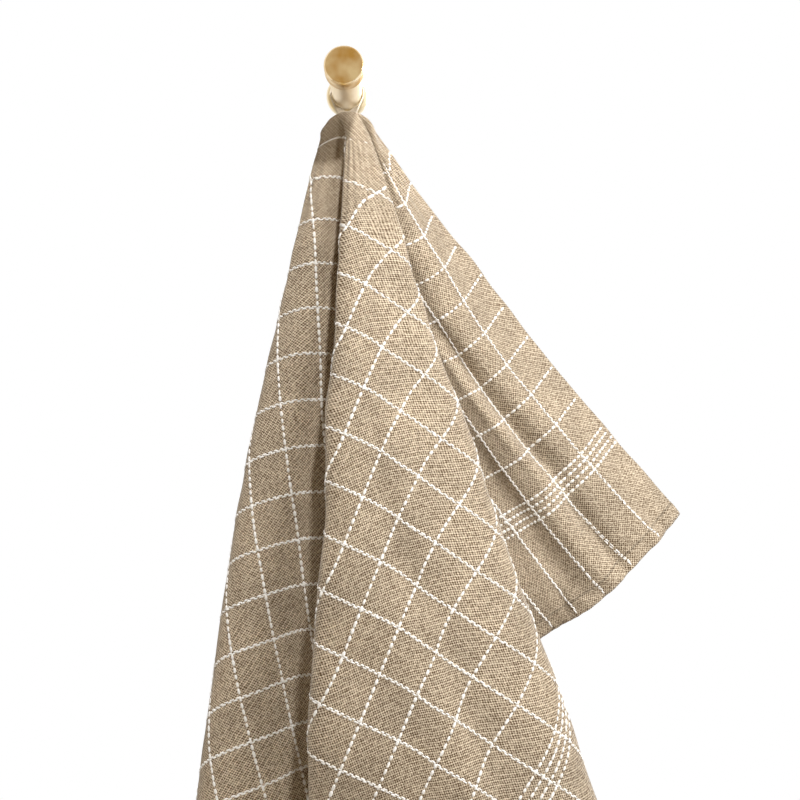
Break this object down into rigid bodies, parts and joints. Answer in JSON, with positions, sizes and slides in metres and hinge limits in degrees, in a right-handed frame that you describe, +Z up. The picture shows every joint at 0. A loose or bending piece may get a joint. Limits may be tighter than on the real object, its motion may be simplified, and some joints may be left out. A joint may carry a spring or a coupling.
{
  "type": "tea towel on a wall peg",
  "caption": "Checked cotton tea towel, gathered at its long edge and hanging in soft folds by a tape loop from a round brass wall peg.",
  "frame": {"origin": "middle of the rosette's back face, on the wall plane", "axes": "+Z up, +Y into the wall, so the towel hangs on the -Y side, and +X to the right when facing the wall"},
  "size_m": [0.312, 0.1052, 0.5991],
  "materials": {
    "checked_cotton": "matt twill weave",
    "cotton_tape": "matt woven tape",
    "brass": "satin",
    "pale_brass": "satin"
  },
  "bodies": {
    "root": {"towel": "checked_cotton", "hanging_loop": "cotton_tape", "peg": "brass", "rosette": "pale_brass"}
  },
  "joints": []
}
